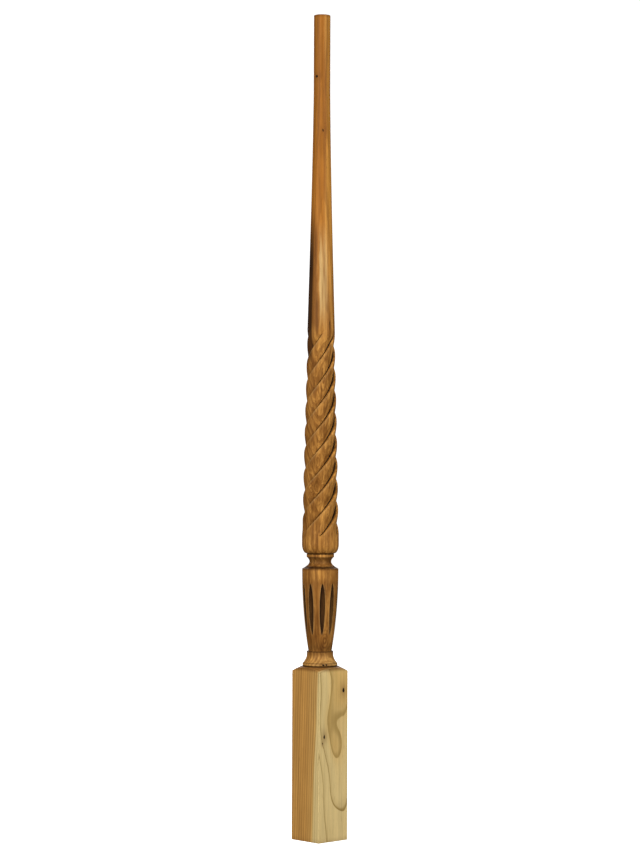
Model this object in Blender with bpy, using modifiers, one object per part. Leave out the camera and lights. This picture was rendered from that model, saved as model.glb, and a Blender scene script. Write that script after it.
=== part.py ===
"""A twist baluster for a stair, turned and carved from one length of square hardwood.

From the floor up it has a square block with a turned shoulder, a bead, a cavetto, a fluted
barrel, a cove neck with a collar, and a long tapering shaft. The foot of the shaft carries a
right-handed rope twist of five strands, and its plain upper end runs up to a round pin.
Metres, +Z up. It stands on the origin with the sides of its block square to X and Y.
"""
import math

import bmesh
import bpy
from mathutils import Vector

# Square stock
STOCK_SIDE = 0.044
STOCK_EDGE_EASE = 0.0008
# Block and its turned shoulder
BLOCK_HEIGHT = 0.187
SHOULDER_RISE = 0.006
SHOULDER_FULLNESS = 1.15
# Base bead, cavetto and fillet
BEAD_FOOT_RADIUS = 0.0188
BEAD_BULGE = 0.0007
BEAD_HEIGHT = 0.0033
CAVETTO_HEIGHT = 0.0097
FILLET_RADIUS = 0.0146
FILLET_HEIGHT = 0.003
# Barrel
BARREL_FOOT_RADIUS = 0.013
BARREL_FOOT_STEP = 0.001
BARREL_RADIUS = 0.0201
BARREL_HEIGHT = 0.089
BARREL_RIM = 0.0014
BARREL_RIM_EASE = 0.0003
# Flutes of the barrel
FLUTE_COUNT = 10
FLUTE_START = 0.0175
FLUTE_LENGTH = 0.0575
FLUTE_WIDTH = math.radians(19)
FLUTE_DEPTH = 0.003
FLUTE_POINT = 0.6
FLUTE_TIP_SHARE = 0.12
FLUTE_DRIFTS = {7: math.radians(-2.5), 8: math.radians(-4.7)}
# Neck and collar
NECK_RADIUS = 0.0121
COVE_HEIGHT = 0.0078
NECK_RISE = 0.005
COLLAR_RADIUS = 0.0152
COLLAR_HEIGHT = 0.0031
QUIRK_DEPTH = 0.0006
QUIRK_HEIGHT = 0.0008
# Shaft
SHAFT_FOOT_INSET = 0.005
SHAFT_FOOT_HEIGHT = 0.0105
SHAFT_RADIUS = 0.02045
BAND_HEIGHT = 0.0089
TWIST_LENGTH = 0.2282
TAPER_LENGTH = 0.265
SHAFT_FOOT_SLOPE = 0.012
SHAFT_TIP_SLOPE = 0.010
# Rope twist
STRAND_COUNT = 5
TWIST_LEAD = 0.1228
STRAND_START = math.radians(25.5)
STRAND_WALL = 0.08
STRAND_ROUNDING = 1.3
STRAND_EDGE_EASE = 0.08
STRAND_EDGE_WIDTH = 0.25
GROOVE_SHARE = 0.24
GROOVE_RUN_OUT = 0.014
GROOVE_LEAST_WIDTH = 0.15
GROOVE_FADE = 0.017
# Pin
PIN_RADIUS = 0.0092
PIN_LENGTH = 0.084
PIN_EASE = 0.0007
# Fineness of the solid
CURVE_STEPS = 5
BEAD_STEPS = 4
SHAFT_FOOT_STEPS = 7
FLUTE_STEPS = 5
FLUTE_RINGS = 11
RUN_OUT_SHARES = (0.12, 0.35, 0.65, 1)
TWIST_RINGS = 30
TAPER_RINGS = 6
# Wood
WOOD_COLOUR = (0.434, 0.202, 0.06, 1.0)
WOOD_ROUGHNESS = 0.42

MARGIN = 0.0005
MERGE = 0.00001
SHARP_EDGE = math.radians(32)
SEGMENTS = math.lcm(FLUTE_COUNT * FLUTE_STEPS, STRAND_COUNT)
STRAND_STEPS = SEGMENTS // STRAND_COUNT
SEGMENT = 2 * math.pi / SEGMENTS

# Heights of the main stages
BEAD_FOOT = BLOCK_HEIGHT + SHOULDER_RISE
BARREL_FOOT = BEAD_FOOT + BEAD_HEIGHT + CAVETTO_HEIGHT + FILLET_HEIGHT + BARREL_FOOT_STEP
FLUTE_FOOT = BARREL_FOOT + FLUTE_START
FLUTE_TIP = FLUTE_FOOT + FLUTE_LENGTH
COVE_FOOT = BARREL_FOOT + BARREL_HEIGHT + BARREL_RIM + BARREL_RIM_EASE
COLLAR_TIP = COVE_FOOT + COVE_HEIGHT + NECK_RISE + COLLAR_HEIGHT
TWIST_FOOT = COLLAR_TIP + QUIRK_HEIGHT + SHAFT_FOOT_HEIGHT + BAND_HEIGHT
TWIST_TIP = TWIST_FOOT + TWIST_LENGTH
PIN_FOOT = TWIST_TIP + TAPER_LENGTH
HEIGHT = PIN_FOOT + PIN_LENGTH


def clear_scene():
    for item in list(bpy.data.objects):
        bpy.data.objects.remove(item)


def new_collection(name):
    collection = bpy.data.collections.new(name)
    bpy.context.scene.collection.children.link(collection)
    return collection


def wood():
    material = bpy.data.materials.new("oiled knotty hardwood")
    material.use_nodes = True
    shader = material.node_tree.nodes["Principled BSDF"]
    shader.inputs["Base Color"].default_value = WOOD_COLOUR
    shader.inputs["Roughness"].default_value = WOOD_ROUGHNESS
    shader.inputs["Metallic"].default_value = 0.0
    return material


def straight(t):
    return t


def early(t):
    """Moves fast at first and settles: a parabola."""
    return 1 - (1 - t) ** 2


def late(t):
    """Moves slowly at first: the same parabola from its other end."""
    return t ** 2


def quarter(t):
    """A quarter of an ellipse that starts square to the axis."""
    return math.sqrt(1 - (1 - t) ** 2)


def domed(t):
    return 1 - (1 - t) ** (1 / SHOULDER_FULLNESS)


class Outline:
    """A turned outline, drawn upward as radius and height."""

    def __init__(self, radius, height):
        self.points = [(radius, height)]

    def to(self, radius, rise, steps=1, ease=straight):
        first_radius, first_height = self.points[-1]
        for step in range(1, steps + 1):
            t = step / steps
            self.points.append((first_radius + (radius - first_radius) * ease(t), first_height + rise * t))

    def bulge(self, amount, rise, steps):
        first_radius, first_height = self.points[-1]
        for step in range(1, steps + 1):
            t = step / steps
            self.points.append((first_radius + amount * math.sin(math.pi * t), first_height + rise * t))


def shaft_radius(height):
    """The shaft's envelope: a cubic between the band and the pin, with its own slope at each end."""
    length = TWIST_LENGTH + TAPER_LENGTH
    t = min(max((height - TWIST_FOOT) / length, 0), 1)
    rise = PIN_RADIUS - SHAFT_RADIUS
    foot = -SHAFT_FOOT_SLOPE * length
    tip = -SHAFT_TIP_SLOPE * length
    return SHAFT_RADIUS + foot * t + (3 * rise - 2 * foot - tip) * t ** 2 + (foot + tip - 2 * rise) * t ** 3


def shaft_heights():
    """Heights of the shaft's rings, close where the grooves start and even above that."""
    carved = TWIST_LENGTH - GROOVE_RUN_OUT
    heights = [TWIST_FOOT + GROOVE_RUN_OUT * share for share in RUN_OUT_SHARES]
    heights += [TWIST_FOOT + GROOVE_RUN_OUT + carved * step / TWIST_RINGS for step in range(1, TWIST_RINGS + 1)]
    heights += [TWIST_TIP + TAPER_LENGTH * step / TAPER_RINGS for step in range(1, TAPER_RINGS + 1)]
    return heights


def barrel_radius(height):
    t = (height - BARREL_FOOT) / BARREL_HEIGHT
    return BARREL_FOOT_RADIUS + (BARREL_RADIUS - BARREL_FOOT_RADIUS) * early(t)


def barrel_heights():
    """Heights of the barrel's rings, even along the flutes and single beyond them."""
    below = [BARREL_FOOT + FLUTE_START / 2]
    along = [FLUTE_FOOT + FLUTE_LENGTH * step / FLUTE_RINGS for step in range(FLUTE_RINGS + 1)]
    return below + along + [BARREL_FOOT + BARREL_HEIGHT]


def turned_outline():
    """The outline before carving. It is wider than the stock at the block, which stays square."""
    reach = STOCK_SIDE / math.sqrt(2) + MARGIN
    outline = Outline(reach, -MARGIN)
    outline.to(reach, BLOCK_HEIGHT + MARGIN)
    outline.to(BEAD_FOOT_RADIUS, SHOULDER_RISE, CURVE_STEPS, domed)
    outline.bulge(BEAD_BULGE, BEAD_HEIGHT, BEAD_STEPS)
    outline.to(FILLET_RADIUS, CAVETTO_HEIGHT, CURVE_STEPS, early)
    outline.to(FILLET_RADIUS, FILLET_HEIGHT)
    outline.to(BARREL_FOOT_RADIUS, BARREL_FOOT_STEP)
    outline.points += [(barrel_radius(height), height) for height in barrel_heights()]
    outline.to(BARREL_RADIUS, BARREL_RIM)
    outline.to(BARREL_RADIUS - BARREL_RIM_EASE, BARREL_RIM_EASE)
    outline.to(NECK_RADIUS, COVE_HEIGHT, CURVE_STEPS, early)
    outline.to(COLLAR_RADIUS, NECK_RISE, BEAD_STEPS, late)
    outline.to(COLLAR_RADIUS, COLLAR_HEIGHT)
    outline.to(COLLAR_RADIUS - QUIRK_DEPTH, QUIRK_HEIGHT / 2)
    outline.to(SHAFT_RADIUS - SHAFT_FOOT_INSET, QUIRK_HEIGHT / 2)
    outline.to(SHAFT_RADIUS, SHAFT_FOOT_HEIGHT, SHAFT_FOOT_STEPS, quarter)
    outline.to(SHAFT_RADIUS, BAND_HEIGHT)
    outline.points += [(shaft_radius(height), height) for height in shaft_heights()]
    outline.to(PIN_RADIUS, PIN_LENGTH - PIN_EASE)
    outline.to(PIN_RADIUS - PIN_EASE, PIN_EASE)
    return outline.points


def turned_blank(name, points, collection):
    """The outline spun about Z. It runs down the outer side and closes on the axis at both ends."""
    closed = [(0.0, points[-1][1])] + points[::-1] + [(0.0, points[0][1])]
    mesh = bpy.data.meshes.new(name + " outline")
    edges = [(index, index + 1) for index in range(len(closed) - 1)]
    mesh.from_pydata([(radius, 0, height) for radius, height in closed], edges, [])
    source = bpy.data.objects.new(name + " outline", mesh)
    collection.objects.link(source)
    screw = source.modifiers.new("spin", "SCREW")
    screw.steps = SEGMENTS
    screw.render_steps = SEGMENTS
    screw.use_merge_vertices = True
    screw.merge_threshold = MERGE
    depsgraph = bpy.context.evaluated_depsgraph_get()
    turned = bpy.data.meshes.new_from_object(source.evaluated_get(depsgraph))
    bpy.data.objects.remove(source)
    turned.name = name
    return turned


def flute_share(height):
    """Width of a flute at a height as a share of its full width: a lens with pointed ends."""
    along = 2 * (height - FLUTE_FOOT) / FLUTE_LENGTH - 1
    return max(1 - along ** 2, 0) ** FLUTE_POINT


def flute_middle(flute):
    """The flutes are spaced evenly, but two of them were cut a little off their places."""
    return 2 * math.pi * flute / FLUTE_COUNT + FLUTE_DRIFTS.get(flute % FLUTE_COUNT, 0)


def fluted_point(index, height):
    """Angle and radius on the barrel. All but one of a flute's points cross it; that one is on the land."""
    flute, step = divmod(index + 1, FLUTE_STEPS)
    share = flute_share(height)
    if step == FLUTE_STEPS - 1:
        return (flute_middle(flute) + flute_middle(flute + 1)) / 2, barrel_radius(height)
    across = 2 * step / (FLUTE_STEPS - 2) - 1
    half_width = FLUTE_WIDTH / 2 * max(share, FLUTE_TIP_SHARE)
    depth = FLUTE_DEPTH * share * math.sqrt(1 - across ** 2)
    return flute_middle(flute) + across * half_width, barrel_radius(height) - depth


def share_along(height, foot, length):
    return min(max((height - foot) / length, 0), 1)


def groove_depth(height):
    """Depth of the grooves as a share: they stop short on the band and fade into the taper."""
    run_out = quarter(share_along(height, TWIST_FOOT, GROOVE_RUN_OUT))
    fade = 1 - share_along(height, TWIST_TIP - GROOVE_FADE, GROOVE_FADE)
    return min(run_out, fade)


def strand_section(across, width):
    """Cut below the envelope across one strand: a steep wall, an eased edge, a back that rolls off.

    As the groove narrows, less of the back rolls off beside the wall.
    """
    if across < STRAND_WALL:
        return 1 - (1 - STRAND_EDGE_EASE) * across / STRAND_WALL
    back = (across - STRAND_WALL) / (1 - STRAND_WALL)
    edge = max(1 - back / STRAND_EDGE_WIDTH, 0)
    return back ** (STRAND_ROUNDING / width) + STRAND_EDGE_EASE * edge ** 2


def twisted(index, height):
    """Angle on the shaft, and the share cut off its radius. Its points keep their place on a strand as they climb.

    Above the twist nothing is cut, and the points keep the angle that they had at its tip, up to the end of the pin.
    """
    first = round(STRAND_START / SEGMENT)
    strand, step = divmod(index - first, STRAND_STEPS)
    across = 0.0
    if step:
        across = STRAND_WALL + (1 - STRAND_WALL) * (step - 1) / (STRAND_STEPS - 1)
    climb = min(height, TWIST_TIP) - TWIST_FOOT
    turn = STRAND_START + 2 * math.pi * (climb / TWIST_LEAD + (strand + across) / STRAND_COUNT)
    width = max(share_along(height, TWIST_FOOT, GROOVE_RUN_OUT), GROOVE_LEAST_WIDTH)
    return turn, GROOVE_SHARE * groove_depth(height) * strand_section(across, width)


def carve(mesh):
    """Moves the points of the turned blank to the carved surface."""
    for vertex in mesh.vertices:
        x, y, height = vertex.co
        index = round(math.atan2(y, x) / SEGMENT)
        radius = math.hypot(x, y)
        if radius < MERGE:
            continue
        if FLUTE_FOOT - MERGE < height < FLUTE_TIP + MERGE:
            angle, radius = fluted_point(index, height)
        elif height > TWIST_FOOT - MERGE:
            angle, cut = twisted(index, height)
            radius *= 1 - cut
        else:
            continue
        vertex.co = Vector((radius * math.cos(angle), radius * math.sin(angle), height))


def square_stock(name, collection):
    """The sawn stock: its four long edges are eased, and its foot is the baluster's foot."""
    work = bmesh.new()
    bmesh.ops.create_cube(work, size=1)
    length = HEIGHT + MARGIN
    bmesh.ops.scale(work, vec=(STOCK_SIDE, STOCK_SIDE, length), verts=work.verts)
    bmesh.ops.translate(work, vec=(0, 0, length / 2), verts=work.verts)
    upright = [edge for edge in work.edges if abs(edge.verts[0].co.z - edge.verts[1].co.z) > length / 2]
    bmesh.ops.bevel(work, geom=upright, offset=STOCK_EDGE_EASE, segments=2, affect="EDGES", profile=0.5)
    mesh = bpy.data.meshes.new(name)
    work.to_mesh(mesh)
    work.free()
    stock = bpy.data.objects.new(name, mesh)
    stock.hide_render = True
    stock.display_type = "WIRE"
    collection.objects.link(stock)
    return stock


def make_baluster():
    parts = new_collection("twist_baluster")
    cutters = new_collection("baluster_cutters")
    mesh = turned_blank("baluster", turned_outline(), parts)
    carve(mesh)
    mesh.shade_smooth()
    mesh.set_sharp_from_angle(angle=SHARP_EDGE)
    mesh.materials.clear()
    mesh.materials.append(wood())
    baluster = bpy.data.objects.new("baluster", mesh)
    parts.objects.link(baluster)
    block = baluster.modifiers.new("square block", "BOOLEAN")
    block.operation = "INTERSECT"
    block.solver = "EXACT"
    block.object = square_stock("square_stock", cutters)
    return baluster


clear_scene()
make_baluster()
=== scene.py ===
"""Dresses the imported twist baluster: its turned and carved wood, and the floor, light and camera round it."""

import math

import bpy
from mathutils import Matrix, Vector


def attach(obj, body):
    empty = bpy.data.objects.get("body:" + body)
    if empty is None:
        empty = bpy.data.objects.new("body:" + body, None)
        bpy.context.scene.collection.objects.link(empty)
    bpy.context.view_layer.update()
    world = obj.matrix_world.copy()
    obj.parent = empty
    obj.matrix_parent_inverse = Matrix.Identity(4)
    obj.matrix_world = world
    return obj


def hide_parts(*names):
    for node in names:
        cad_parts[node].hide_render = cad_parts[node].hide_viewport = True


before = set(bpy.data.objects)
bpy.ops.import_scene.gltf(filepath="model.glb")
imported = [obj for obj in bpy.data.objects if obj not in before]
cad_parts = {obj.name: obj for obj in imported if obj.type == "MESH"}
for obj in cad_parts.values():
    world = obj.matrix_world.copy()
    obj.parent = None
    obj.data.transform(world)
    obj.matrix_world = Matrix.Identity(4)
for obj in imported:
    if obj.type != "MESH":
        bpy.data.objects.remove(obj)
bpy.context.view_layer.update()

# The blank, from the foot up, in metres
STOCK_SIDE = 0.044
STOCK_EDGE_EASE = 0.0008
STOCK_REACH = STOCK_SIDE / math.sqrt(2) + 0.0005
BLOCK_HEIGHT = 0.187
SHOULDER_RISE = 0.006
SHOULDER_FULLNESS = 1.15
BEAD_FOOT_RADIUS = 0.0188
BEAD_BULGE = 0.0007
BEAD_HEIGHT = 0.0033
CAVETTO_HEIGHT = 0.0097
FILLET_RADIUS = 0.0146
FILLET_HEIGHT = 0.003
BARREL_FOOT_RADIUS = 0.013
BARREL_FOOT_STEP = 0.001
BARREL_RADIUS = 0.0201
BARREL_HEIGHT = 0.089
BARREL_RIM = 0.0014
BARREL_RIM_EASE = 0.0003
NECK_RADIUS = 0.0121
COVE_HEIGHT = 0.0078
NECK_RISE = 0.005
COLLAR_RADIUS = 0.0152
COLLAR_HEIGHT = 0.0031
QUIRK_DEPTH = 0.0006
QUIRK_HEIGHT = 0.0008
SHAFT_FOOT_INSET = 0.005
SHAFT_FOOT_HEIGHT = 0.0105
SHAFT_RADIUS = 0.02045
BAND_HEIGHT = 0.0089
TWIST_LENGTH = 0.2282
TAPER_LENGTH = 0.265
SHAFT_FOOT_SLOPE = 0.012
SHAFT_TIP_SLOPE = 0.010
PIN_RADIUS = 0.0092
PIN_LENGTH = 0.084
PIN_EASE = 0.0007

# The flutes of the barrel
FLUTE_COUNT = 10
FLUTE_START = 0.0175
FLUTE_LENGTH = 0.0575
FLUTE_WIDTH = math.radians(19)
FLUTE_DEPTH = 0.003
FLUTE_POINT = 0.6
FLUTE_TIP_SHARE = 0.12
FLUTE_DRIFTS = {7: math.radians(-2.5), 8: math.radians(-4.7)}

# The rope twist
STRAND_COUNT = 5
TWIST_LEAD = 0.1228
STRAND_START = math.radians(25.5)
STRAND_WALL = 0.08
STRAND_ROUNDING = 1.3
STRAND_EDGE_EASE = 0.08
STRAND_EDGE_WIDTH = 0.25
GROOVE_SHARE = 0.24
GROOVE_RUN_OUT = 0.014
GROOVE_LEAST_WIDTH = 0.15
GROOVE_FADE = 0.017

# Fineness of the carved mesh
COLUMNS = 240
BLOCK_RINGS = 12
FOOT_EASE = 0.0003
FLUTE_RINGS = 46
FLUTE_CUT_SHARE = 7 / 24
RUN_OUT_RINGS = 16
TWIST_RINGS = 150
TAPER_RINGS = 24
PIN_RINGS = 8
WALL_COLUMNS = 7
WALL_FULLNESS = 1.5
STRAND_CROWD = 1.25
CORNER_CROWD = 1.6
TINY = 0.00001
SHARP_EDGE = math.radians(34)

# Oil and painted shade in the hollows, and painted highlights on the edges
HIGHLIGHT_WIDTH = 0.12
SEEN_SIDE = math.radians(-46.5)
FLUTE_OIL_AND_SHADE_RISE = 0.22
FLUTE_FLOOR_LOSS = 0.2
FLUTE_WALL_GAIN = 0.5
FLUTE_SIDE_GAIN = 0.6
WALL_OIL_AND_SHADE_RISE = 2.5
WALL_OIL_AND_SHADE_LOSS = 0.9
WALL_OIL_AND_SHADE_STEP = (0.45, 0.85)

# Heights of the main stages
BEAD_FOOT = BLOCK_HEIGHT + SHOULDER_RISE
BEAD_TIP = BEAD_FOOT + BEAD_HEIGHT
FILLET_FOOT = BEAD_TIP + CAVETTO_HEIGHT
BARREL_FOOT = FILLET_FOOT + FILLET_HEIGHT + BARREL_FOOT_STEP
FLUTE_FOOT = BARREL_FOOT + FLUTE_START
FLUTE_TIP = FLUTE_FOOT + FLUTE_LENGTH
COVE_FOOT = BARREL_FOOT + BARREL_HEIGHT + BARREL_RIM + BARREL_RIM_EASE
NECK_MIDDLE = COVE_FOOT + COVE_HEIGHT
COLLAR_TIP = NECK_MIDDLE + NECK_RISE + COLLAR_HEIGHT
TWIST_FOOT = COLLAR_TIP + QUIRK_HEIGHT + SHAFT_FOOT_HEIGHT + BAND_HEIGHT


class Value:
    """A socket that can be written in a sum. Each step of the sum adds its Math node."""

    def __init__(self, maker, socket):
        self.maker = maker
        self.socket = socket

    def maths(self, operation, *others):
        return self.maker.maths(operation, self, *others)

    def __add__(self, other):
        return self.maths("ADD", other)

    __radd__ = __add__

    def __sub__(self, other):
        return self.maths("SUBTRACT", other)

    def __rsub__(self, other):
        return self.maker.maths("SUBTRACT", other, self)

    def __mul__(self, other):
        return self.maths("MULTIPLY", other)

    __rmul__ = __mul__

    def __truediv__(self, other):
        return self.maths("DIVIDE", other)

    def __rtruediv__(self, other):
        return self.maker.maths("DIVIDE", other, self)

    def __mod__(self, other):
        return self.maths("FLOORED_MODULO", other)

    def __pow__(self, other):
        return self.maths("POWER", other)

    def __abs__(self):
        return self.maths("ABSOLUTE")

    def at_least(self, other):
        return self.maths("MAXIMUM", other)

    def at_most(self, other):
        return self.maths("MINIMUM", other)

    def held(self):
        """Kept between 0 and 1."""
        return self.at_least(0).at_most(1)

    def over(self, other):
        """1 where it is more than the other, 0 elsewhere."""
        return self.maths("GREATER_THAN", other)

    def along(self, foot, length):
        """0 at the foot, rising to 1 over the length, and held there."""
        return ((self - foot) / length).held()

    def fade(self, start, end):
        """A soft step from 0 at the start to 1 at the end."""
        settings = {"interpolation_type": "SMOOTHSTEP"}
        values = {"Value": self, "From Min": start, "From Max": end}
        return self.maker.add("ShaderNodeMapRange", settings, values)

    def band(self, foot, tip):
        """A soft step up from 0 to 1 between the foot's two values, and down again between the tip's."""
        return self.fade(*foot) * (1 - self.fade(*tip))


class Maker:
    """Adds the nodes of one tree."""

    def __init__(self, tree):
        self.tree = tree

    def add(self, kind, settings=None, values=None, out=0):
        """A node by its type, with its settings first and then its sockets' values or links."""
        node = self.tree.nodes.new(kind)
        for name, setting in (settings or {}).items():
            setattr(node, name, setting)
        for key, value in (values or {}).items():
            if isinstance(value, Value):
                self.tree.links.new(value.socket, node.inputs[key])
            else:
                node.inputs[key].default_value = value
        return Value(self, node.outputs[out])

    def maths(self, operation, *values):
        return self.add("ShaderNodeMath", {"operation": operation}, dict(enumerate(values)))

    def choose(self, mask, off, on):
        """One number where the mask is 0 and another where it is 1."""
        return self.add("ShaderNodeMix", {"data_type": "FLOAT"}, {0: mask, 2: off, 3: on})

    def colours(self, mask, off, on, blend="MIX"):
        """One colour where the mask is 0 and another where it is 1."""
        settings = {"data_type": "RGBA", "blend_type": blend}
        return self.add("ShaderNodeMix", settings, {0: mask, 6: off, 7: on}, out=2)

    def parts(self, vector):
        """The three numbers of a vector."""
        split = self.add("ShaderNodeSeparateXYZ", values={0: vector})
        return [Value(self, socket) for socket in split.socket.node.outputs]

    def vector(self, x, y, z):
        return self.add("ShaderNodeCombineXYZ", values={0: x, 1: y, 2: z})


def straight(t):
    return t


def early(t):
    """Moves fast at first and settles: a parabola."""
    return 1 - (1 - t) ** 2


def late(t):
    return t ** 2


def quarter(t):
    """A quarter of an ellipse that starts square to the axis."""
    return math.sqrt(1 - (1 - t) ** 2)


def domed(t):
    return 1 - (1 - t) ** (1 / SHOULDER_FULLNESS)


class Outline:
    """A turned outline, drawn upward as radius and height."""

    def __init__(self, radius, height):
        self.points = [(radius, height)]

    def to(self, radius, rise, steps=1, ease=straight):
        first_radius, first_height = self.points[-1]
        for step in range(1, steps + 1):
            t = step / steps
            self.points.append((first_radius + (radius - first_radius) * ease(t), first_height + rise * t))

    def bulge(self, amount, rise, steps):
        first_radius, first_height = self.points[-1]
        for step in range(1, steps + 1):
            t = step / steps
            self.points.append((first_radius + amount * math.sin(math.pi * t), first_height + rise * t))

    def follow(self, radius_at, rise, steps):
        """Rises evenly, with the radius that a function gives at each height."""
        first_height = self.points[-1][1]
        for step in range(1, steps + 1):
            height = first_height + rise * step / steps
            self.points.append((radius_at(height), height))


def shaft_radius(height):
    """The shaft's envelope: a cubic between the band and the pin, with its own slope at each end."""
    length = TWIST_LENGTH + TAPER_LENGTH
    t = min(max((height - TWIST_FOOT) / length, 0), 1)
    rise = PIN_RADIUS - SHAFT_RADIUS
    foot = -SHAFT_FOOT_SLOPE * length
    tip = -SHAFT_TIP_SLOPE * length
    return SHAFT_RADIUS + foot * t + (3 * rise - 2 * foot - tip) * t ** 2 + (foot + tip - 2 * rise) * t ** 3


def barrel_radius(height):
    swelling = early((height - BARREL_FOOT) / BARREL_HEIGHT)
    return BARREL_FOOT_RADIUS + (BARREL_RADIUS - BARREL_FOOT_RADIUS) * swelling


def turned_outline():
    """The outline of the blank before it is squared and carved."""
    outline = Outline(STOCK_REACH, 0)
    outline.to(STOCK_REACH, FOOT_EASE)
    outline.to(STOCK_REACH, BLOCK_HEIGHT - FOOT_EASE, BLOCK_RINGS)
    outline.to(BEAD_FOOT_RADIUS, SHOULDER_RISE, 12, domed)
    outline.bulge(BEAD_BULGE, BEAD_HEIGHT, 8)
    outline.to(FILLET_RADIUS, CAVETTO_HEIGHT, 12, early)
    outline.to(FILLET_RADIUS, FILLET_HEIGHT, 2)
    outline.to(BARREL_FOOT_RADIUS, BARREL_FOOT_STEP, 2)
    outline.follow(barrel_radius, FLUTE_START, 8)
    outline.follow(barrel_radius, FLUTE_LENGTH, FLUTE_RINGS)
    outline.follow(barrel_radius, BARREL_HEIGHT - FLUTE_START - FLUTE_LENGTH, 6)
    outline.to(BARREL_RADIUS, BARREL_RIM)
    outline.to(BARREL_RADIUS - BARREL_RIM_EASE, BARREL_RIM_EASE, 3, quarter)
    outline.to(NECK_RADIUS, COVE_HEIGHT, 14, early)
    outline.to(COLLAR_RADIUS, NECK_RISE, 10, late)
    outline.to(COLLAR_RADIUS, COLLAR_HEIGHT, 3)
    outline.to(COLLAR_RADIUS - QUIRK_DEPTH, QUIRK_HEIGHT / 2, 2)
    outline.to(SHAFT_RADIUS - SHAFT_FOOT_INSET, QUIRK_HEIGHT / 2, 2)
    outline.to(SHAFT_RADIUS, SHAFT_FOOT_HEIGHT, 18, quarter)
    outline.to(SHAFT_RADIUS, BAND_HEIGHT, 3)
    outline.follow(shaft_radius, GROOVE_RUN_OUT, RUN_OUT_RINGS)
    outline.follow(shaft_radius, TWIST_LENGTH - GROOVE_RUN_OUT, TWIST_RINGS)
    outline.follow(shaft_radius, TAPER_LENGTH, TAPER_RINGS)
    outline.to(PIN_RADIUS, PIN_LENGTH - PIN_EASE, PIN_RINGS)
    outline.to(PIN_RADIUS - PIN_EASE, PIN_EASE, 4, late)
    return outline.points


def turned_blank():
    """The outline spun about Z, ring by ring from the foot, with its two ends closed on the axis."""
    rings = turned_outline()
    points = []
    for radius, height in rings:
        for column in range(COLUMNS):
            angle = math.tau * column / COLUMNS
            points.append((radius * math.cos(angle), radius * math.sin(angle), height))
    foot_middle = len(points)
    tip_middle = foot_middle + 1
    points += [(0, 0, 0), (0, 0, rings[-1][1])]
    faces = []
    last_ring = (len(rings) - 1) * COLUMNS
    for column in range(COLUMNS):
        beside = (column + 1) % COLUMNS
        faces.append((foot_middle, beside, column))
        faces.append((tip_middle, last_ring + column, last_ring + beside))
        for ring in range(0, last_ring, COLUMNS):
            above = ring + COLUMNS
            faces.append((ring + column, ring + beside, above + beside, above + column))
    mesh = bpy.data.meshes.new("baluster_blank")
    mesh.from_pydata(points, [], faces)
    blank = bpy.data.objects.new("baluster_blank", mesh)
    bpy.context.scene.collection.objects.link(blank)
    return blank


# The carver's sizes: the named inputs of the carving tree
CARVING_SIZES = {
    "Stock side": STOCK_SIDE,
    "Stock edge ease": STOCK_EDGE_EASE,
    "Flute count": FLUTE_COUNT,
    "Flute foot": FLUTE_FOOT,
    "Flute length": FLUTE_LENGTH,
    "Flute width": FLUTE_WIDTH,
    "Flute depth": FLUTE_DEPTH,
    "Strand count": STRAND_COUNT,
    "Strand start": STRAND_START,
    "Twist foot": TWIST_FOOT,
    "Twist length": TWIST_LENGTH,
    "Twist lead": TWIST_LEAD,
    "Groove share": GROOVE_SHARE,
    "Groove run out": GROOVE_RUN_OUT,
    "Groove fade": GROOVE_FADE,
}


def flute_drift(flute, count):
    """How far a flute was cut off its even place. Only two of them were."""
    drift = 0.0
    for number, angle in FLUTE_DRIFTS.items():
        drift = drift + (1 - abs(flute % count - number)).held() * angle
    return drift


def flute_oil_and_shade(depth, bearing, across):
    """How dark a flute is, from its oil and painted shade: darker on the wall turned away from the seen side,
    and in flutes beside it.
    """
    # Painted shade: walls turned away from the seen side, and flutes towards the edges of the view, are
    # darkened.
    turned = (bearing - SEEN_SIDE).maths("SINE")
    far = 1.0 - FLUTE_FLOOR_LOSS * depth - FLUTE_WALL_GAIN * turned * across
    far = far + FLUTE_SIDE_GAIN * turned * turned * turned * turned
    return depth.fade(0, FLUTE_OIL_AND_SHADE_RISE) * far.held()


def fluted(size, column, height):
    """Angle of the barrel's columns, share of a flute's depth cut, its oil and painted shade, and the painted
    highlight on its edge.
    """
    pitch = math.tau / size["Flute count"]
    each = COLUMNS / size["Flute count"]
    offset = (column + each / 2) % each - each / 2
    flute = (column - offset) / each
    drift = flute_drift(flute, size["Flute count"])
    along = 2 * (height - size["Flute foot"]) / size["Flute length"] - 1
    share = (1 - along * along).at_least(0) ** FLUTE_POINT
    cut = each * FLUTE_CUT_SHARE
    across = ((offset / cut).at_least(-1).at_most(1) * (math.pi / 2)).maths("SINE")
    side = offset.maths("SIGN")
    land = ((abs(offset) - cut) / (each / 2 - cut)).at_least(0)
    shared = land * (flute_drift(flute + side, size["Flute count"]) - drift) / 2
    half_width = size["Flute width"] / 2 * share.at_least(FLUTE_TIP_SHARE)
    depth = share * (1 - across * across).at_least(0).maths("SQRT")
    angle = flute * pitch + drift + shared + across * half_width
    angle = angle + side * land * (pitch / 2 - half_width)
    # Painted highlight along the flute's edges.
    edge_highlight = (1 - abs(abs(offset) - cut) / 2).at_least(0) * share.fade(0, 0.5)
    return angle, depth, flute_oil_and_shade(depth, flute * pitch, across), edge_highlight


def strand_section(wall, back, width):
    """Cut below the shaft's envelope across one strand: steep wall, eased edge, back that rolls off."""
    climb = 1 - (1 - wall) ** WALL_FULLNESS
    edge = (1 - back / STRAND_EDGE_WIDTH).at_least(0)
    rolled = back ** (STRAND_ROUNDING / width)
    return 1 - (1 - STRAND_EDGE_EASE) * climb + rolled + STRAND_EDGE_EASE * (edge * edge - 1)


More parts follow.
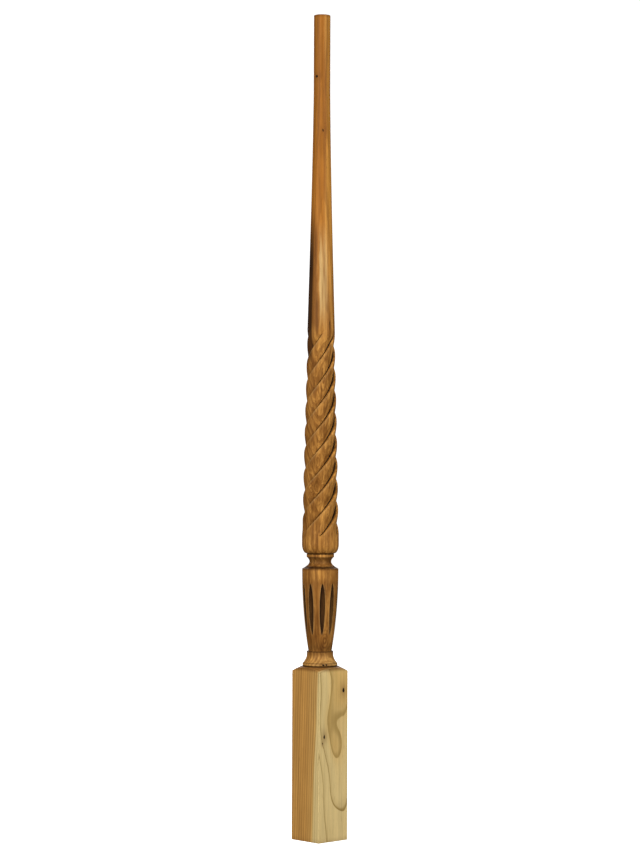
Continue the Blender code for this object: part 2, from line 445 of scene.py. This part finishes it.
def twisted(size, column, height):
    """Angle of the twist's columns, share cut off the radius, oil and painted shade down a strand's wall, and
    the painted highlight on its edge.
    """
    each = COLUMNS / size["Strand count"]
    place = (column - size["Strand start"] * (COLUMNS / math.tau)) % COLUMNS
    step = place % each
    strand = (place - step) / each
    wall = (step / WALL_COLUMNS).at_most(1)
    back = ((step - WALL_COLUMNS) / (each - WALL_COLUMNS)).at_least(0) ** STRAND_CROWD
    across = STRAND_WALL * wall + (1 - STRAND_WALL) * back
    climb = (height - size["Twist foot"]).at_most(size["Twist length"])
    turns = climb / size["Twist lead"] + (strand + across) / size["Strand count"]
    angle = size["Strand start"] + math.tau * turns
    run_out = height.along(size["Twist foot"], size["Groove run out"])
    fade_foot = size["Twist foot"] + size["Twist length"] - size["Groove fade"]
    fade = 1 - height.along(fade_foot, size["Groove fade"])
    depth = (1 - (1 - run_out) * (1 - run_out)).maths("SQRT").at_most(fade)
    section = strand_section(wall, back, run_out.at_least(GROOVE_LEAST_WIDTH))
    past_wall = wall.over(1 - TINY)
    # Painted shade with oil, darkest at the foot of the strand's wall.
    on_wall = (1 - past_wall) * (1 - WALL_OIL_AND_SHADE_LOSS * wall)
    # Painted highlight along the strand's edge, just past the wall.
    edge_highlight = past_wall * (1 - back / HIGHLIGHT_WIDTH).at_least(0)
    wall_oil_and_shade = (depth * WALL_OIL_AND_SHADE_RISE).at_most(1) * on_wall
    return angle, size["Groove share"] * depth * section, wall_oil_and_shade, depth * edge_highlight


def stock_edge(maker, size, across):
    """The stock's radius at an angle from its corner, with the corner's edge eased."""
    half = size["Stock side"] / 2
    inner = half - size["Stock edge ease"]
    flat = half / (math.pi / 4 - across).maths("COSINE")
    reach = inner * math.sqrt(2)
    aside = reach * across.maths("SINE")
    eased = size["Stock edge ease"] * size["Stock edge ease"] - aside * aside
    rounded = reach * across.maths("COSINE") + eased.at_least(0).maths("SQRT")
    limit = (inner / half).maths("ARCTANGENT")
    on_edge = (math.pi / 4 - across).over(limit)
    return maker.choose(on_edge, flat, rounded)


def squared(maker, size, column, height):
    """Angle, radius and height on the square block and its shoulder, which meet in an arch on each side."""
    each = COLUMNS / 4
    offset = column % each - each / 2
    crowded = (abs(offset) / (each / 2)) ** CORNER_CROWD * offset.maths("SIGN") * (math.pi / 4)
    corner = (column - column % each + each / 2) * (math.tau / COLUMNS)
    edge = stock_edge(maker, size, abs(crowded))
    share = (STOCK_REACH - edge) / (STOCK_REACH - BEAD_FOOT_RADIUS)
    arch = 1 - (1 - share) ** SHOULDER_FULLNESS
    rise = height.along(BLOCK_HEIGHT, SHOULDER_RISE)
    climb = arch + rise * (1 - arch)
    drawn_in = 1 - (1 - climb) ** (1 / SHOULDER_FULLNESS)
    turned = STOCK_REACH - (STOCK_REACH - BEAD_FOOT_RADIUS) * drawn_in
    on_shoulder = height.over(BLOCK_HEIGHT + TINY)
    eased_foot = edge - (FOOT_EASE - height).at_least(0)
    lifted = height + height.along(FOOT_EASE, BLOCK_HEIGHT - FOOT_EASE) * SHOULDER_RISE * arch
    angle = corner + maker.choose(rise, crowded, offset * (math.tau / COLUMNS))
    radius = maker.choose(on_shoulder, eased_foot, turned)
    return angle, radius, maker.choose(on_shoulder, lifted, BLOCK_HEIGHT + SHOULDER_RISE * climb)


def carving_tree():
    """Squares the block of a turned blank, cuts its flutes and carves its rope twist."""
    tree = bpy.data.node_groups.new("baluster_carving", "GeometryNodeTree")
    tree.interface.new_socket("Geometry", in_out="INPUT", socket_type="NodeSocketGeometry")
    for name in CARVING_SIZES:
        tree.interface.new_socket(name, in_out="INPUT", socket_type="NodeSocketFloat")
    tree.interface.new_socket("Wood", in_out="INPUT", socket_type="NodeSocketMaterial")
    tree.interface.new_socket("Geometry", in_out="OUTPUT", socket_type="NodeSocketGeometry")
    maker = Maker(tree)
    given = tree.nodes.new("NodeGroupInput")
    size = {name: Value(maker, given.outputs[name]) for name in CARVING_SIZES}
    index = maker.add("GeometryNodeInputIndex")
    x, y, height = maker.parts(maker.add("GeometryNodeInputPosition"))
    radius = (x * x + y * y).maths("SQRT")
    column = index % COLUMNS
    flute_angle, flute, flute_stain_and_shade, flute_highlight = fluted(size, column, height)
    twist_angle, cut, wall_stain_and_shade, strand_highlight = twisted(size, column, height)
    block_angle, block_radius, block_height = squared(maker, size, column, height)
    in_flutes = height.over(FLUTE_FOOT - TINY) * (1 - height.over(FLUTE_TIP + TINY))
    in_twist = height.over(TWIST_FOOT - TINY)
    in_block = (1 - height.over(BEAD_FOOT - TINY)) * radius.over(TINY)
    angle = maker.choose(in_flutes, column * (math.tau / COLUMNS), flute_angle)
    angle = maker.choose(in_twist, angle, twist_angle)
    angle = maker.choose(in_block, angle, block_angle)
    carved = radius - in_flutes * size["Flute depth"] * flute
    carved = maker.choose(in_twist, carved, radius * (1 - cut))
    carved = maker.choose(in_block, carved, block_radius)
    raised = maker.choose(in_block, height, block_height)
    place = maker.vector(carved * angle.maths("COSINE"), carved * angle.maths("SINE"), raised)
    blank = Value(maker, given.outputs["Geometry"])
    moved = maker.add("GeometryNodeSetPosition", values={"Geometry": blank, "Position": place})
    # Painted shade with oil in the flutes and down the strands' walls.
    hollow = (in_flutes * flute_stain_and_shade + in_twist * wall_stain_and_shade.fade(*WALL_OIL_AND_SHADE_STEP)).held()
    # Painted highlights along the flutes' and the strands' edges.
    edge_highlight = in_flutes * flute_highlight + in_twist * strand_highlight
    stored = moved
    for name, share in (("hollow", hollow), ("edge_highlight", edge_highlight)):
        settings = {"data_type": "FLOAT", "domain": "POINT"}
        values = {"Geometry": stored, "Name": name, "Value": share}
        stored = maker.add("GeometryNodeStoreNamedAttribute", settings, values)
    real = maker.add("GeometryNodeRealizeInstances", values={"Geometry": stored})
    wood = Value(maker, given.outputs["Wood"])
    finished = maker.add("GeometryNodeSetMaterial", values={"Geometry": real, "Material": wood})
    result = tree.nodes.new("NodeGroupOutput")
    tree.links.new(finished.socket, result.inputs["Geometry"])
    return tree


def carved_baluster(wood):
    """The finished baluster as one plain mesh: its blank, squared and carved by the tree."""
    blank = turned_blank()
    tree = carving_tree()
    modifier = blank.modifiers.new("carving", "NODES")
    modifier.node_group = tree
    for socket in tree.interface.items_tree:
        if socket.in_out == "INPUT" and socket.name in CARVING_SIZES:
            modifier[socket.identifier] = float(CARVING_SIZES[socket.name])
        if socket.in_out == "INPUT" and socket.name == "Wood":
            modifier[socket.identifier] = wood
    depsgraph = bpy.context.evaluated_depsgraph_get()
    mesh = bpy.data.meshes.new_from_object(blank.evaluated_get(depsgraph))
    bpy.data.objects.remove(blank)
    mesh.name = "carved_baluster"
    mesh.shade_smooth()
    mesh.set_sharp_from_angle(angle=SHARP_EDGE)
    baluster = bpy.data.objects.new("carved_baluster", mesh)
    bpy.context.scene.collection.objects.link(baluster)
    return baluster


# Wood, in metres unless said otherwise. Its pith lies behind the block's -X side.
PITH_X = -0.058
PITH_Y = 0.009
PITH_LEAN = 0.05
RING_SPACING = 0.0031
RING_START = 24.76
GRAIN_SLOPE = 0.03
SAPWOOD_X = 0.0108
SAPWOOD_SLOPE = 0.05
HEART_MID = (0.26, 0.100, 0.016, 1)
HEART_LIGHT = (0.46, 0.220, 0.048, 1)
HEART_PALE = (0.50, 0.262, 0.068, 1)
# Dark heartwood, also used as painted shade on the twist's left, the cove, the neck and the shoulder
HEART_DARK_AND_SHADE = (0.13, 0.043, 0.006, 1)
HEART_TIP = (0.30, 0.104, 0.010, 1)
HEART_GOLD = (0.42, 0.185, 0.030, 1)
SAP_LIGHT = (0.61, 0.455, 0.198, 1)
SAP_TAN = (0.56, 0.360, 0.120, 1)
SAP_LINE = (0.20, 0.112, 0.014, 1)
CREAM = (0.44, 0.285, 0.112, 1)
# Near-black of knot bark, also used as painted shade on the taper's left edge
KNOT_BARK_AND_SHADE = (0.012, 0.006, 0.003, 1)
# Oil in the hollows together with painted shade there
HOLLOW_OIL_AND_SHADE = (0.008, 0.003, 0.001, 1)

# Knots: x, y, z, half width and half height, in metres
KNOTS = (
    (0.0220, 0.0151, 0.1664, 0.0016, 0.0024),
    (0.0220, -0.0140, 0.1167, 0.0012, 0.0022),
    (0.0220, -0.0165, 0.1097, 0.0006, 0.0011),
    (0.0009, -0.0092, 0.8454, 0.0017, 0.0014),
    (0.0086, -0.0060, 0.7854, 0.0011, 0.0018),
    (0.0087, -0.0057, 0.8000, 0.0005, 0.0120),
    (0.0178, -0.0040, 0.6238, 0.0007, 0.0020),
    (0.0153, -0.0014, 0.5720, 0.0004, 0.0070),
    (0.0162, -0.0105, 0.1947, 0.0015, 0.0012),
    (0.0179, -0.0073, 0.1950, 0.0011, 0.0010),
)

# Nests of rings where a branch pushed the grain: x, y, z, half width, half height, and rings
NESTS = (
    (0.0132, -0.0058, 0.2215, 0.0038, 0.0072, 1.8),
    (0.0200, -0.0012, 0.4385, 0.0022, 0.0040, 1.4),
    (0.0111, -0.0147, 0.4160, 0.0025, 0.0070, 1.6),
    (0.0100, -0.0154, 0.3900, 0.0025, 0.0070, 1.6),
    (0.0036, -0.0181, 0.3870, 0.0027, 0.0080, 1.8),
    (0.0080, -0.0100, 0.2960, 0.0032, 0.0060, 1.8),
    (0.0150, -0.0100, 0.5100, 0.0040, 0.0150, -1.8),
)
LOOPS_TO_A_NEST = 1.6

# Swells of the grain behind the block's pale side: y, z, half width, half height, and rings
SWELLS = (
    (0.003, 0.015, 0.010, 0.022, 0.60),
    (-0.014, 0.070, 0.008, 0.022, 0.35),
    (0.006, 0.055, 0.008, 0.014, -0.30),
    (-0.002, 0.105, 0.010, 0.015, -0.40),
    (-0.016, 0.132, 0.008, 0.016, -0.60),
    (0.009, 0.132, 0.008, 0.016, 0.30),
    (0.001, 0.182, 0.010, 0.016, 0.40),
)

# Corners of the turning, darkened by gathered oil and painted shade: height, spread, and how dark
NOOKS = (
    (BEAD_FOOT, 0.0012, 1.0),
    (BEAD_TIP, 0.0010, 0.6),
    (BARREL_FOOT - BARREL_FOOT_STEP, 0.0012, 0.9),
    (BARREL_FOOT + 0.003, 0.012, 0.35),
    (COVE_FOOT + 0.0014, 0.0030, 0.9),
    (NECK_MIDDLE, 0.0075, 0.45),
    (COLLAR_TIP + QUIRK_HEIGHT / 2, 0.0010, 1.0),
    (COLLAR_TIP - COLLAR_HEIGHT, 0.0008, 0.5),
)

# Darker bands of the finish, and painted shade in the cove and neck: from one height to another, how softly
# they end, and how dark
OLD_FINISH_AND_SHADE = (
    (-0.0100, 0.0030, 0.0035, 0.22),
    (0.2065, 0.2880, 0.0040, 0.34),
    # Painted shade in the cove and neck
    (0.2990, 0.3130, 0.0015, 0.42),
    (0.5600, 0.6300, 0.0300, 0.16),
    (0.7600, 0.9200, 0.0500, 0.26),
    (0.9115, 0.9200, 0.0010, 0.35),
)

# Directions to the right on the seen side, and across the cream streak, as shares of X and Y
RIGHT_X = 0.688
RIGHT_Y = 0.725
STREAK_RIGHT_X = 0.566
STREAK_RIGHT_Y = 0.824

# Heights where a change of the wood starts and ends
BLOCK_TO_TURNING = (0.185, 0.215)
CALM_GRAIN = (0.50, 0.62)
ORANGE_TIP = (0.56, 0.72)
CREAM_FOOT = (0.56, 0.60)
CREAM_TIP = (0.640, 0.690)
DARK_HEART_FOOT = (0.555, 0.575)
DARK_HEART_TIP = (0.66, 0.71)
# Painted shade on the taper's left edge and on the twist's left, as seen
BLACK_EDGE_FOOT = (0.525, 0.54)
BLACK_EDGE_TIP = (0.63, 0.71)
DARK_TWIST_FOOT = (0.33, 0.34)
DARK_TWIST_TIP = (0.55, 0.57)
BARREL_STREAK_FOOT = (0.207, 0.212)
BARREL_STREAK_TIP = (0.291, 0.298)
# Oil soaked into the end grain, and painted shade, on the shoulder
SHOULDER_OIL_AND_SHADE_FOOT = (BLOCK_HEIGHT - 0.0005, BLOCK_HEIGHT + 0.004)
SHOULDER_OIL_AND_SHADE_TIP = (BEAD_FOOT, BEAD_FOOT + 0.001)

# The barrel's dark streak and the lighter wood beside it, measured to the right
BARREL_STREAK_ASIDE = 0.0020
BARREL_STREAK_WIDTH = 0.0026
BARREL_LIGHT_ASIDE = 0.004

# How strongly each mark shows
# Painted shade on the twist's left
DARK_TWIST_SHARE = 0.45
BARREL_STREAK_SHARE = 0.25
BARREL_LIGHT_SHARE = 0.12
KNOT_PUSH = 0.15
KNOT_HALO_SHARE = 0.45
# Painted highlight on the carved edges
HIGHLIGHT_SHARE = 0.22
# Oil and painted shade on the shoulder
SHOULDER_OIL_AND_SHADE_SHARE = 0.7
# Oil and painted shade in the hollows
HOLLOW_SHARE = 0.98


def stretched(maker, place, across, along, detail=2.0, roughness=0.5, seed=0.0):
    """Noise drawn out along the grain: its scale across the grain and along it, in waves per metre."""
    scaled = maker.add("ShaderNodeMapping", values={"Vector": place, "Scale": (across, across, along)})
    values = {"Vector": scaled, "W": seed, "Scale": 1.0, "Detail": detail, "Roughness": roughness}
    return maker.add("ShaderNodeTexNoise", {"noise_dimensions": "4D"}, values)


def hill(aside):
    """A smooth hill, 1 where the squared distance is 0, from e to the power of half of it."""
    return (aside * -0.5).maths("EXPONENT")


def knots(x, y, height, ragged):
    """The dark hearts of the knots, and the wider halo in which they bend and darken the wood."""
    heart = 0.0
    halo = 0.0
    for knot_x, knot_y, knot_z, wide, tall in KNOTS:
        aside = ((x - knot_x) * (x - knot_x) + (y - knot_y) * (y - knot_y)) / (wide * wide)
        up = (height - knot_z) / tall
        away = aside + up * up
        heart = (1 - (away + ragged).fade(0.3, 1.7)).at_least(heart)
        halo = hill(away / 7).at_least(halo)
    return heart, halo


def swells(x, y, height):
    """The swells of the grain, which fade out away from the pale side."""
    total = 0.0
    for swell_y, swell_z, wide, tall, rings in SWELLS:
        aside = (y - swell_y) / wide
        up = (height - swell_z) / tall
        total = total + rings * hill(aside * aside + up * up)
    return total * x.fade(0.004, 0.02)


def nests(x, y, height):
    """How far, in rings, the small nests push the grain, and the dark loops of the nests themselves."""
    total = 0.0
    loops = 0.0
    for nest_x, nest_y, nest_z, wide, tall, rings in NESTS:
        aside = ((x - nest_x) * (x - nest_x) + (y - nest_y) * (y - nest_y)) / (wide * wide)
        up = (height - nest_z) / tall
        away = aside + up * up
        total = total + rings * hill(away)
        loop = (away.maths("SQRT") * LOOPS_TO_A_NEST) % 1
        line = loop.band((0.35, 0.75), (0.85, 1.0))
        loops = (line * hill(away / 1.5)).at_least(loops)
    return total, loops


def nooks(height):
    """How dark the corners between the turned members are, from gathered oil and painted shade, by height."""
    depth = 0.0
    for middle, spread, share in NOOKS:
        depth = ((1 - abs(height - middle) / spread) * share).at_least(depth)
    return depth.at_least(0)


class Grain:
    """What the hardwood's colours are worked out from, at each place in the piece."""

    def __init__(self, maker):
        place = maker.add("ShaderNodeTexCoord", out="Object")
        self.x, self.y, self.height = maker.parts(place)
        self.above_block = self.height.fade(*BLOCK_TO_TURNING)
        self.calm = 1 - 0.8 * self.height.fade(*CALM_GRAIN)
        self.right = RIGHT_X * self.x + RIGHT_Y * self.y
        self.front = RIGHT_Y * self.x - RIGHT_X * self.y
        self.left = self.right / (self.x * self.x + self.y * self.y).maths("SQRT") * -1
        self.slow = stretched(maker, place, 48, 9, detail=1.5, seed=1.3) - 0.5
        self.brisk = stretched(maker, place, 190, 42, detail=2, seed=4.1) - 0.5
        self.fibre = stretched(maker, place, 900, 24, detail=4, roughness=0.62, seed=2.2)
        self.streak = stretched(maker, place, 300, 9, detail=3, roughness=0.6, seed=7.7)
        self.cloud = stretched(maker, place, 110, 34, detail=3, roughness=0.6, seed=9.1)
        self.pore = stretched(maker, place, 1900, 130, detail=2, seed=5.5).fade(0.62, 0.74)
        ragged = stretched(maker, place, 620, 260, detail=3, seed=3.3) * 3.0 - 1.5
        self.knot, self.halo = knots(self.x, self.y, self.height, ragged)
        self.draw_rings(maker)

    def draw_rings(self, maker):
        """Growth rings: the distance from a leaning pith, with swells, nests, waves and knots bending it."""
        lively_slow = 0.08 + 3.9 * self.above_block * self.calm
        lively_brisk = 0.03 + 1.6 * self.above_block * self.calm
        waves = self.slow * lively_slow + self.brisk * lively_brisk
        pushed, self.loops = nests(self.x, self.y, self.height)
        across = self.x - PITH_X
        aside = self.y - (PITH_Y + PITH_LEAN * (self.height - BLOCK_HEIGHT).at_least(0))
        from_pith = (across * across + aside * aside).maths("SQRT")
        rings = (from_pith - GRAIN_SLOPE * self.height) / RING_SPACING - RING_START
        rings = rings + swells(self.x, self.y, self.height) + pushed + waves
        self.rings = rings - self.halo * KNOT_PUSH
        self.ring = self.rings % 1
        whole = self.rings - self.ring
        number = maker.add("ShaderNodeTexWhiteNoise", {"noise_dimensions": "1D"}, {"W": whole})
        strength = 0.5 + 0.5 * number
        darker = 0.30 * self.ring.fade(0.45, 1.0) + 0.70 * self.ring.fade(0.84, 0.96)
        self.late_sap = darker * (1 - self.ring.fade(0.975, 1.0)) * strength
        self.late_heart = self.ring.band((0.30, 0.75), (0.86, 1.0)) * strength
        fine = (self.rings * 3.0 + self.brisk * 2.0) % 1
        self.fine_line = fine.band((0.3, 0.8), (0.85, 1.0)) * self.above_block * self.calm


def heartwood(maker, grain):
    """Heartwood, paler in the block and more orange towards the pin, with its rings drawn in."""
    in_block = 1 - grain.above_block
    warmth = (grain.streak.fade(0.36, 0.64) * 0.55 + grain.cloud.fade(0.36, 0.64) * 0.45).held()
    heart = maker.colours(warmth, HEART_MID, HEART_LIGHT)
    heart = maker.colours(in_block * 0.75, heart, HEART_PALE)
    tip = maker.colours((grain.right + grain.slow * 0.010).fade(0.0020, 0.0050), HEART_TIP, HEART_GOLD)
    heart = maker.colours(grain.height.fade(*ORANGE_TIP) * 0.85, heart, tip)
    heart = maker.colours(grain.x.fade(-0.002, 0.020) * in_block * 0.5, heart, SAP_TAN)
    block_line = (0.4 + 0.5 * grain.x.fade(0.002, 0.014)) * in_block
    line = block_line + (0.3 + 0.35 * grain.calm) * grain.above_block
    heart = maker.colours((grain.late_heart * line).held(), heart, HEART_DARK_AND_SHADE)
    return maker.colours((grain.fine_line * 0.3 + grain.loops * 0.75).held(), heart, HEART_DARK_AND_SHADE)


def with_sapwood(maker, grain, heart):
    """Sapwood laid over the heart, at the front corner and over the block's pale side."""
    sap = maker.colours((0.4 - grain.rings).fade(0.0, 0.8), SAP_LIGHT, SAP_TAN)
    sap = maker.colours(grain.late_sap * 0.95, sap, SAP_LINE)
    edge = grain.x - SAPWOOD_SLOPE * grain.height + grain.slow * 0.004 + grain.streak * 0.003
    return maker.colours(edge.fade(SAPWOOD_X - 0.0005, SAPWOOD_X + 0.0025), heart, sap)


def with_taper_streaks(maker, grain, wood):
    """A cream streak up the front of the taper, dark heart beside it, and painted shade: a near-black left edge
    as seen.
    """
    aside = STREAK_RIGHT_X * grain.x + STREAK_RIGHT_Y * grain.y + 0.004 * (grain.cloud - 0.5)
    front = STREAK_RIGHT_Y * grain.x - STREAK_RIGHT_X * grain.y
    up = grain.height.band(CREAM_FOOT, CREAM_TIP)
    cream = aside.band((-0.0049, -0.0040), (0.0010, 0.0075)) * up * front.fade(0.006, 0.010)
    wood = maker.colours(cream * grain.streak.fade(0.3, 0.62) * 0.9, wood, CREAM)
    low_taper = grain.height.band(DARK_HEART_FOOT, DARK_HEART_TIP)
    dark_heart = (1 - aside.fade(-0.0075, -0.0050)) * low_taper * front.fade(-0.006, 0.004)
    wood = maker.colours(dark_heart * 0.7, wood, HEART_DARK_AND_SHADE)
    # Painted shade: the taper's left edge as seen goes near-black.
    black = grain.left.fade(0.60, 0.76) * grain.height.band(BLACK_EDGE_FOOT, BLACK_EDGE_TIP)
    return maker.colours(black * 0.95, wood, KNOT_BARK_AND_SHADE)


def with_old_finish_and_shade(maker, grain, wood):
    """Bands of older, darker finish with painted shade in the cove and neck, painted shade on the left of the
    twist, and a streak down the barrel.
    """
    old = 0.0
    for low, high, ease, share in OLD_FINISH_AND_SHADE:
        old = old + grain.height.band((low - ease, low + ease), (high - ease, high + ease)) * share
    on_twist = grain.height.band(DARK_TWIST_FOOT, DARK_TWIST_TIP)
    # Painted shade: the twist darker on its left as seen.
    old = old + grain.left.fade(0.3, 0.95) * on_twist * DARK_TWIST_SHARE
    on_barrel = grain.height.band(BARREL_STREAK_FOOT, BARREL_STREAK_TIP) * grain.front.fade(0, 0.005)
    beside = (grain.right + BARREL_STREAK_ASIDE + grain.slow * 0.006) / BARREL_STREAK_WIDTH
    dark = hill(beside * beside) * BARREL_STREAK_SHARE
    light = (grain.right - BARREL_LIGHT_ASIDE).fade(0, 0.006) * BARREL_LIGHT_SHARE
    old = old + on_barrel * (dark - light)
    return maker.colours(old.held(), wood, HEART_DARK_AND_SHADE)


def with_fibres(maker, grain, wood):
    """The wood shaded along its fibres, streaks and clouds, and its pores."""
    shade = 1 + (grain.fibre - 0.5) * (0.55 + 0.35 * grain.above_block)
    shade = shade + (grain.streak - 0.5) * (0.5 + 0.8 * grain.above_block)
    shade = shade + (grain.cloud - 0.5) * 0.7 * grain.above_block * grain.calm
    wood = maker.colours(1.0, wood, maker.vector(shade, shade, shade), blend="MULTIPLY")
    return maker.colours(grain.pore * 0.4, wood, HEART_DARK_AND_SHADE)


def with_knots_oil_and_painted_light(maker, grain, wood, oil_and_shade):
    """Knots, painted highlights on the edges, and oil and painted shade darkening the shoulder and the hollows.
    """
    wood = maker.colours(grain.halo * KNOT_HALO_SHARE, wood, HEART_DARK_AND_SHADE)
    wood = maker.colours(grain.knot, wood, KNOT_BARK_AND_SHADE)
    # Painted highlight along the carved edges.
    edge_highlight = maker.add("ShaderNodeAttribute", {"attribute_name": "edge_highlight"}, out="Fac")
    wood = maker.colours(edge_highlight * HIGHLIGHT_SHARE, wood, CREAM)
    # Oil and painted shade on the shoulder.
    shoulder = grain.height.band(SHOULDER_OIL_AND_SHADE_FOOT, SHOULDER_OIL_AND_SHADE_TIP)
    wood = maker.colours(shoulder * SHOULDER_OIL_AND_SHADE_SHARE, wood, HEART_DARK_AND_SHADE)
    # Oil and painted shade in the hollows and corners.
    return maker.colours(oil_and_shade * HOLLOW_SHARE, wood, HOLLOW_OIL_AND_SHADE)


def oiled_hardwood():
    """Knotty hardwood under a clear satin finish: growth rings, pale sapwood, knots and pores."""
    material = bpy.data.materials.new("oiled_hardwood")
    material.use_nodes = True
    shader = material.node_tree.nodes["Principled BSDF"]
    maker = Maker(material.node_tree)
    grain = Grain(maker)
    hollow = maker.add("ShaderNodeAttribute", {"attribute_name": "hollow"}, out="Fac")
    # Oil and painted shade in the hollows and in the corners of the turning.
    oil_and_shade = hollow.at_least(nooks(grain.height)).held()
    wood = with_sapwood(maker, grain, heartwood(maker, grain))
    wood = with_taper_streaks(maker, grain, wood)
    wood = with_old_finish_and_shade(maker, grain, wood)
    wood = with_fibres(maker, grain, wood)
    wood = with_knots_oil_and_painted_light(maker, grain, wood, oil_and_shade)
    gloss = 0.48 + 0.12 * grain.fibre + 0.25 * grain.knot + 0.15 * oil_and_shade
    relief = grain.fibre * 0.5 - grain.pore * 0.7 + grain.ring * 0.15 - grain.knot * 1.5
    relief_values = {"Strength": 0.5, "Distance": 0.00025, "Height": relief}
    bump = maker.add("ShaderNodeBump", values=relief_values)
    link = material.node_tree.links.new
    link(wood.socket, shader.inputs["Base Color"])
    link(gloss.socket, shader.inputs["Roughness"])
    link(bump.socket, shader.inputs["Normal"])
    shader.inputs["Specular IOR Level"].default_value = 0.08
    return material


# The camera, at the photograph's angle
CAMERA_AZIMUTH = math.radians(46.5)
CAMERA_DISTANCE = 2.93
CAMERA_HEIGHT = 0.458
CAMERA_ASIDE = -0.0009
CAMERA_ROLL = math.radians(0.2)
CAMERA_LENS = 111.5
CAMERA_FILM_WIDTH = 36

# The room: the paper backdrop in metres, and its light
PAPER_WIDTH = 12.0
PAPER_FRONT = -6.0
PAPER_REACH = 3.2
PAPER_SWEEP = 1.2
PAPER_RISE = 5.0
PAPER_STEPS = 12
PAPER_GLOW = 0.85
LIGHT_AIM = 0.45
ROOM_LIGHT = 0.12


def place_camera():
    camera = bpy.data.objects.new("camera", bpy.data.cameras.new("camera"))
    bpy.context.scene.collection.objects.link(camera)
    camera.data.sensor_width = CAMERA_FILM_WIDTH
    camera.data.lens = CAMERA_LENS
    across = Vector((math.cos(CAMERA_AZIMUTH), math.sin(CAMERA_AZIMUTH), 0))
    back = Vector((math.sin(CAMERA_AZIMUTH), -math.cos(CAMERA_AZIMUTH), 0))
    camera.location = back * CAMERA_DISTANCE + across * CAMERA_ASIDE + Vector((0, 0, CAMERA_HEIGHT))
    turn = Matrix.Rotation(CAMERA_AZIMUTH, 4, "Z") @ Matrix.Rotation(math.pi / 2, 4, "X")
    camera.rotation_euler = (turn @ Matrix.Rotation(CAMERA_ROLL, 4, "Z")).to_euler()
    bpy.context.scene.camera = camera


def soft_light(name, bearing, elevation, distance, size, power):
    """A square lamp round the baluster. Its bearing is measured to the camera's right."""
    lamp = bpy.data.lights.new(name, "AREA")
    lamp.size = size
    lamp.energy = power
    light = bpy.data.objects.new(name, lamp)
    bpy.context.scene.collection.objects.link(light)
    turn = CAMERA_AZIMUTH + math.radians(bearing)
    lift = math.radians(elevation)
    outward = Vector((math.sin(turn) * math.cos(lift), -math.cos(turn) * math.cos(lift), math.sin(lift)))
    light.location = Vector((0, 0, LIGHT_AIM)) + outward * distance
    light.rotation_euler = outward.to_track_quat("Z", "Y").to_euler()


def white_paper():
    material = bpy.data.materials.new("white_paper")
    material.use_nodes = True
    shader = material.node_tree.nodes["Principled BSDF"]
    shader.inputs["Base Color"].default_value = (0.9, 0.9, 0.9, 1)
    shader.inputs["Roughness"].default_value = 0.9
    shader.inputs["Emission Color"].default_value = (1, 1, 1, 1)
    shader.inputs["Emission Strength"].default_value = PAPER_GLOW
    return material


def paper_backdrop():
    """A sheet of white paper: flat under the baluster, and rising behind it in one sweep."""
    line = [(PAPER_FRONT, 0.0), (PAPER_REACH, 0.0)]
    for step in range(1, PAPER_STEPS + 1):
        angle = math.pi / 2 * step / PAPER_STEPS
        line.append((PAPER_REACH + PAPER_SWEEP * math.sin(angle), PAPER_SWEEP * (1 - math.cos(angle))))
    line.append((PAPER_REACH + PAPER_SWEEP, PAPER_RISE))
    across = Vector((math.cos(CAMERA_AZIMUTH), math.sin(CAMERA_AZIMUTH), 0))
    away = Vector((-math.sin(CAMERA_AZIMUTH), math.cos(CAMERA_AZIMUTH), 0))
    points = []
    for distance, height in line:
        for side in (-PAPER_WIDTH / 2, PAPER_WIDTH / 2):
            points.append(across * side + away * distance + Vector((0, 0, height)))
    faces = [(2 * row, 2 * row + 1, 2 * row + 3, 2 * row + 2) for row in range(len(line) - 1)]
    mesh = bpy.data.meshes.new("paper_backdrop")
    mesh.from_pydata(points, [], faces)
    mesh.shade_smooth()
    backdrop = bpy.data.objects.new("paper_backdrop", mesh)
    bpy.context.scene.collection.objects.link(backdrop)
    mesh.materials.append(white_paper())
    backdrop.visible_diffuse = False
    backdrop.visible_glossy = False


def light_the_room():
    soft_light("key", bearing=40, elevation=18, distance=2.3, size=1.0, power=48)
    soft_light("fill", bearing=-38, elevation=18, distance=2.3, size=1.0, power=52)
    soft_light("back", bearing=180, elevation=30, distance=2.4, size=1.4, power=30)
    world = bpy.data.worlds.new("studio")
    bpy.context.scene.world = world
    world.use_nodes = True
    background = world.node_tree.nodes["Background"]
    background.inputs["Color"].default_value = (1, 1, 1, 1)
    background.inputs["Strength"].default_value = ROOM_LIGHT
    bpy.context.scene.view_settings.view_transform = "Standard"


wood = oiled_hardwood()
baluster = carved_baluster(wood)
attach(baluster, "root")
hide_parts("baluster")
paper_backdrop()
light_the_room()
place_camera()
